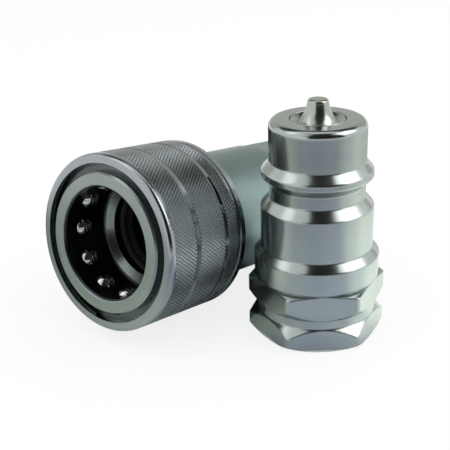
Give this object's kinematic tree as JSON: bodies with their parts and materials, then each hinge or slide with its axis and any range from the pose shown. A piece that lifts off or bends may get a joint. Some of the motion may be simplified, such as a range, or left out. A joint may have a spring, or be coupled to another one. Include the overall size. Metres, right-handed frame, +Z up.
{
  "type": "quick coupling",
  "caption": "Two halves of a poppet-type quick coupling: a socket with a knurled ball-lock sleeve lying on its side, and a plug standing on its hexagon.",
  "frame": {"origin": "centre of the foot that the plug half stands on, on the plug's axis and at floor height", "axes": "+Z up, along the plug's axis towards its nose; in plan the socket half's axis runs along +Y from its mouth to its tail, and the socket lies on the -X side of the plug"},
  "size_m": [0.0659, 0.0717, 0.0518],
  "materials": {
    "plug_zinc": "zinc plated, satin, slightly greenish",
    "socket_zinc": "zinc plated, satin",
    "tube_zinc": "zinc plated, satin, blue-grey",
    "sleeve_zinc": "zinc plated, knurled",
    "valve_steel": "turned, bright",
    "spring_steel": "spring wire, satin",
    "ring_steel": "blackened spring steel",
    "ball_steel": "polished",
    "seal_rubber": "black, matt",
    "backup_plastic": "off-white"
  },
  "bodies": {
    "halves": {"plug_body": "plug_zinc", "plug_poppet_spring": "spring_steel", "plug_valve_guide": "valve_steel", "plug_guide_ring": "spring_steel", "socket_body": "socket_zinc", "socket_adapter": "tube_zinc", "adapter_seal": "seal_rubber", "sleeve_spring": "spring_steel", "sleeve_stop_ring": "ring_steel", "spring_washer": "spring_steel", "spring_washer_ring": "spring_steel", "nose_seal": "seal_rubber", "backup_ring": "backup_plastic", "socket_poppet_spring": "spring_steel", "socket_valve_guide": "valve_steel", "socket_guide_ring": "spring_steel"},
    "sleeve": {"sleeve": "sleeve_zinc"},
    "plug_valve": {"plug_poppet": "valve_steel", "plug_poppet_seal": "seal_rubber"},
    "socket_valve": {"socket_poppet": "valve_steel", "socket_poppet_seal": "seal_rubber"},
    "ball_01": {"locking_ball_01": "ball_steel"},
    "ball_02": {"locking_ball_02": "ball_steel"},
    "ball_03": {"locking_ball_03": "ball_steel"},
    "ball_04": {"locking_ball_04": "ball_steel"},
    "ball_05": {"locking_ball_05": "ball_steel"},
    "ball_06": {"locking_ball_06": "ball_steel"},
    "ball_07": {"locking_ball_07": "ball_steel"},
    "ball_08": {"locking_ball_08": "ball_steel"},
    "ball_09": {"locking_ball_09": "ball_steel"},
    "ball_10": {"locking_ball_10": "ball_steel"},
    "ball_11": {"locking_ball_11": "ball_steel"}
  },
  "joints": [
    {"name": "sleeve_slide", "type": "slide", "parent": "halves", "child": "sleeve", "axis": [0, 0.9898, -0.1425], "range_m": [0, 0.0042], "stiffness_N_per_m": 2000, "springref_m": -0.006, "deforming": ["sleeve_spring"]},
    {"name": "plug_poppet_slide", "type": "slide", "parent": "halves", "child": "plug_valve", "axis": [0, 0, -1], "range_m": [0, 0.0042], "stiffness_N_per_m": 1500, "springref_m": -0.006, "deforming": ["plug_poppet_spring"]},
    {"name": "socket_poppet_slide", "type": "slide", "parent": "halves", "child": "socket_valve", "axis": [0, 0.9898, -0.1425], "range_m": [0, 0.0042], "stiffness_N_per_m": 1500, "springref_m": -0.006, "deforming": ["socket_poppet_spring"]},
    {"name": "ball_01_lift", "type": "slide", "parent": "halves", "child": "ball_01", "axis": [-0.8508, 0.0749, 0.5201], "range_m": [0, 0.00121]},
    {"name": "ball_02_lift", "type": "slide", "parent": "halves", "child": "ball_02", "axis": [-0.4317, 0.1286, 0.8928], "range_m": [0, 0.00121]},
    {"name": "ball_03_lift", "type": "slide", "parent": "halves", "child": "ball_03", "axis": [0.1245, 0.1414, 0.9821], "range_m": [0, 0.00121]},
    {"name": "ball_04_lift", "type": "slide", "parent": "halves", "child": "ball_04", "axis": [0.6412, 0.1094, 0.7595], "range_m": [0, 0.00121]},
    {"name": "ball_05_lift", "type": "slide", "parent": "halves", "child": "ball_05", "axis": [0.9543, 0.0426, 0.2958], "range_m": [0, 0.00121]},
    {"name": "ball_06_lift", "type": "slide", "parent": "halves", "child": "ball_06", "axis": [0.9644, -0.0377, -0.2618], "range_m": [0, 0.00121]},
    {"name": "ball_07_lift", "type": "slide", "parent": "halves", "child": "ball_07", "axis": [0.6683, -0.106, -0.7363], "range_m": [0, 0.00121]},
    {"name": "ball_08_lift", "type": "slide", "parent": "halves", "child": "ball_08", "axis": [0.16, -0.1407, -0.977], "range_m": [0, 0.00121]},
    {"name": "ball_09_lift", "type": "slide", "parent": "halves", "child": "ball_09", "axis": [-0.399, -0.1307, -0.9076], "range_m": [0, 0.00121]},
    {"name": "ball_10_lift", "type": "slide", "parent": "halves", "child": "ball_10", "axis": [-0.8314, -0.0792, -0.55], "range_m": [0, 0.00121]},
    {"name": "ball_11_lift", "type": "slide", "parent": "halves", "child": "ball_11", "axis": [-0.9998, -0.0026, -0.0177], "range_m": [0, 0.00121]}
  ],
  "couplings": [
    {"joint": "ball_01_lift", "follows": "sleeve_slide", "ratio": 0.28571},
    {"joint": "ball_02_lift", "follows": "sleeve_slide", "ratio": 0.28571},
    {"joint": "ball_03_lift", "follows": "sleeve_slide", "ratio": 0.28571},
    {"joint": "ball_04_lift", "follows": "sleeve_slide", "ratio": 0.28571},
    {"joint": "ball_05_lift", "follows": "sleeve_slide", "ratio": 0.28571},
    {"joint": "ball_06_lift", "follows": "sleeve_slide", "ratio": 0.28571},
    {"joint": "ball_07_lift", "follows": "sleeve_slide", "ratio": 0.28571},
    {"joint": "ball_08_lift", "follows": "sleeve_slide", "ratio": 0.28571},
    {"joint": "ball_09_lift", "follows": "sleeve_slide", "ratio": 0.28571},
    {"joint": "ball_10_lift", "follows": "sleeve_slide", "ratio": 0.28571},
    {"joint": "ball_11_lift", "follows": "sleeve_slide", "ratio": 0.28571}
  ]
}
